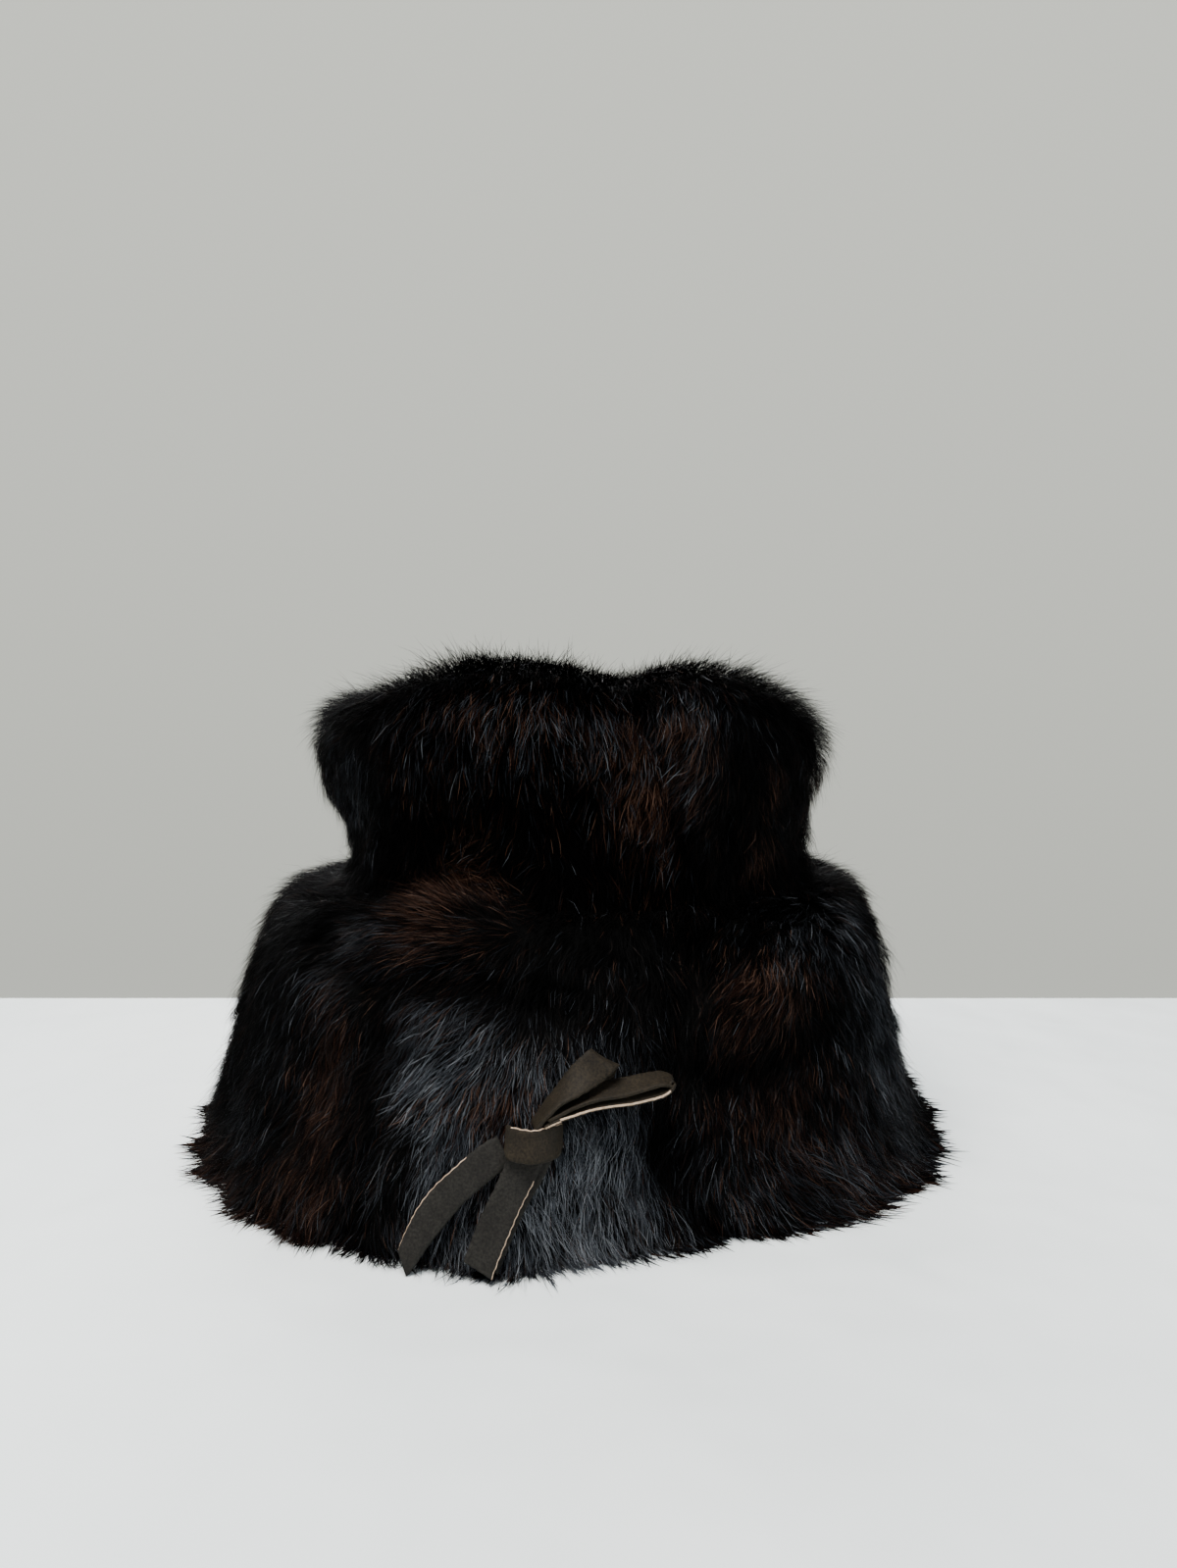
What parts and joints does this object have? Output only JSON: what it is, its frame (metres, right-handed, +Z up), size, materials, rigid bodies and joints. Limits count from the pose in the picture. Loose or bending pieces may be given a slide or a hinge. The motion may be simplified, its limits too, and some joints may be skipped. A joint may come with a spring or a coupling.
{
  "type": "patchwork fur bucket hat",
  "caption": "Patchwork fur hat with a soft creased crown, a deep padded brim turned down all round, and a leather strip tied in a bow at the front.",
  "frame": {"origin": "the middle of the hat's box on the surface that its hem rests on", "axes": "+Z up through the crown, -Y towards the front where the bow is, +X to the right as the front is seen"},
  "size_m": [0.3245, 0.3403, 0.1986],
  "materials": {
    "fur_black": "dense glossy black fur",
    "fur_brown": "dense dark brown fur with paler guard hairs",
    "fur_grey": "dense blue-grey fur with paler guard hairs",
    "tie_leather": "matt olive-brown leather strip with a raw tan cut edge"
  },
  "bodies": {
    "root": {"crown_top": "fur_brown", "crown_front": "fur_black", "crown_right": "fur_brown", "crown_back": "fur_black", "crown_left": "fur_grey", "brim_front": "fur_grey", "brim_right": "fur_brown", "brim_back": "fur_black", "brim_left": "fur_brown", "tie_knot": "tie_leather", "tie_tail_left": "tie_leather", "tie_tail_under": "tie_leather", "tie_tail_right": "tie_leather", "tie_loop_right": "tie_leather", "tie_loop_upper": "tie_leather"}
  },
  "joints": []
}
